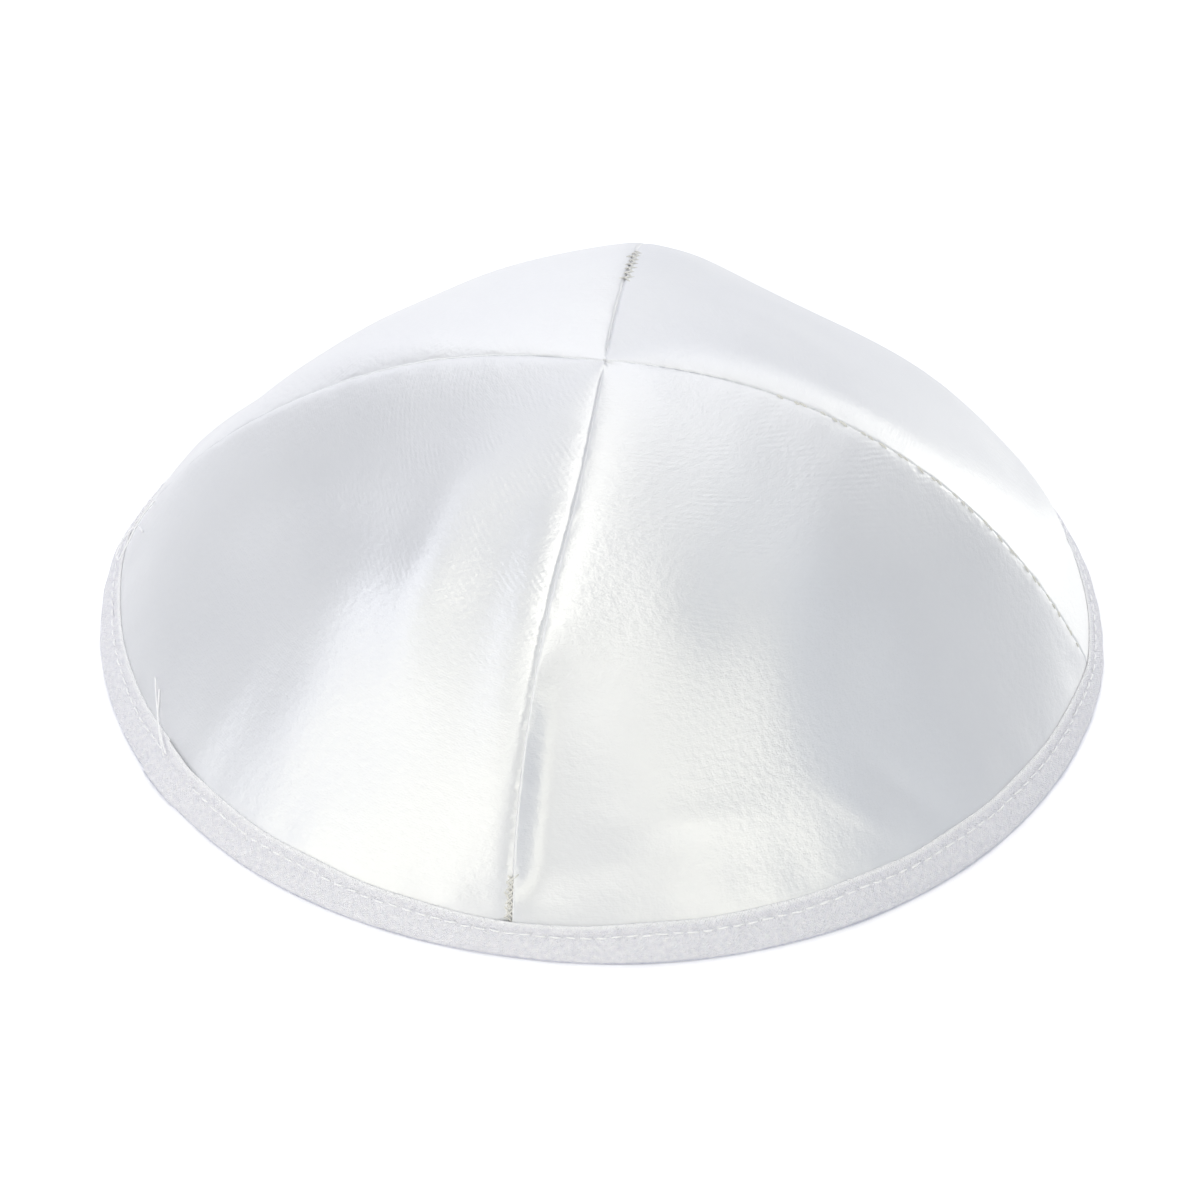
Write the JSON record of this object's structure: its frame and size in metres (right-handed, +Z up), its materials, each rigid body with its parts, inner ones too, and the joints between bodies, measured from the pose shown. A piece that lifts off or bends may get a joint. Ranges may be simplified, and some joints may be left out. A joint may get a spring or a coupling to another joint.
{
  "type": "kippah skullcap",
  "caption": "Shallow domed satin skullcap of curved gores with ridged seams, open below, its rim bound in folded tape; worn on the crown of the head.",
  "frame": {"origin": "middle of the cap's footprint on the plane that its rim rests on", "axes": "+Z up through the crown, -Y to the front where the front seam comes down, +X to the right of a viewer in front"},
  "size_m": [0.166, 0.1638, 0.0575],
  "materials": {
    "satin": "white polyester satin, glossy floats with a soft cool-grey sheen",
    "tape": "matt plain-weave bias tape, white with a lavender cast, edge-stitched"
  },
  "bodies": {
    "root": {"panel_front_left": "satin", "panel_front_right": "satin", "panel_back_left": "satin", "panel_back_right": "satin", "binding": "tape"}
  },
  "joints": []
}
